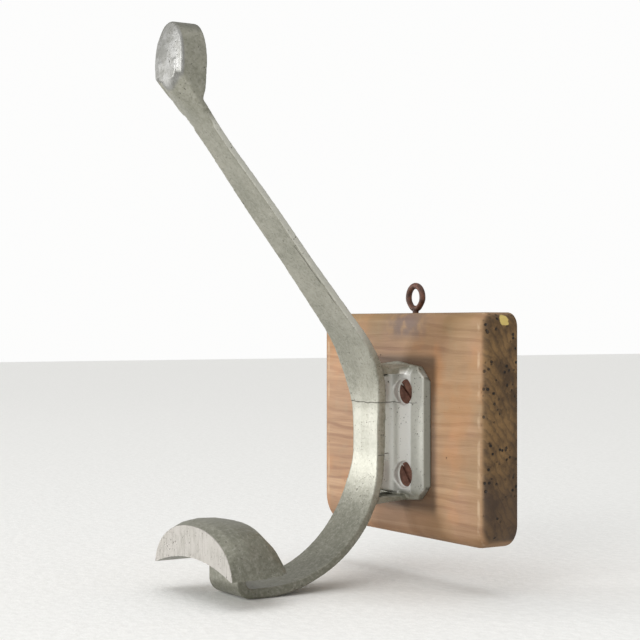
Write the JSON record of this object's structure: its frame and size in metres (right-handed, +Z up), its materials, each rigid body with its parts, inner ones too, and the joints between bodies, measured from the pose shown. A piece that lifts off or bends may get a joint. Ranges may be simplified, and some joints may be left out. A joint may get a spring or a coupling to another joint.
{
  "type": "double wall hook on a board",
  "caption": "Cast double wall hook with a long oval-ended upper arm and a saddle-ended lower arm, screwed to a wooden board with a wire screw eye.",
  "frame": {"origin": "centre of the board's back face, on the wall", "axes": "+Y into the wall, the hook reaches along -Y, +Z up, +X to the right seen from the front"},
  "size_m": [0.128, 0.1336, 0.2398],
  "materials": {
    "timber": "worn, dry",
    "casting": "satin, pitted",
    "screws": "rusted",
    "eye": "rusted"
  },
  "bodies": {
    "hook_on_board": {"board": "timber", "hook_casting": "casting", "screw_upper_right": "screws", "screw_lower_right": "screws", "screw_upper_left": "screws", "screw_lower_left": "screws"},
    "eye": {"screw_eye": "eye"}
  },
  "joints": [
    {"name": "eye_turn", "type": "hinge", "parent": "hook_on_board", "child": "eye", "pos_m": [0.0015, -0.0085, 0.05], "axis": [0, 0, 1], "range_deg": [-90, 90]}
  ]
}
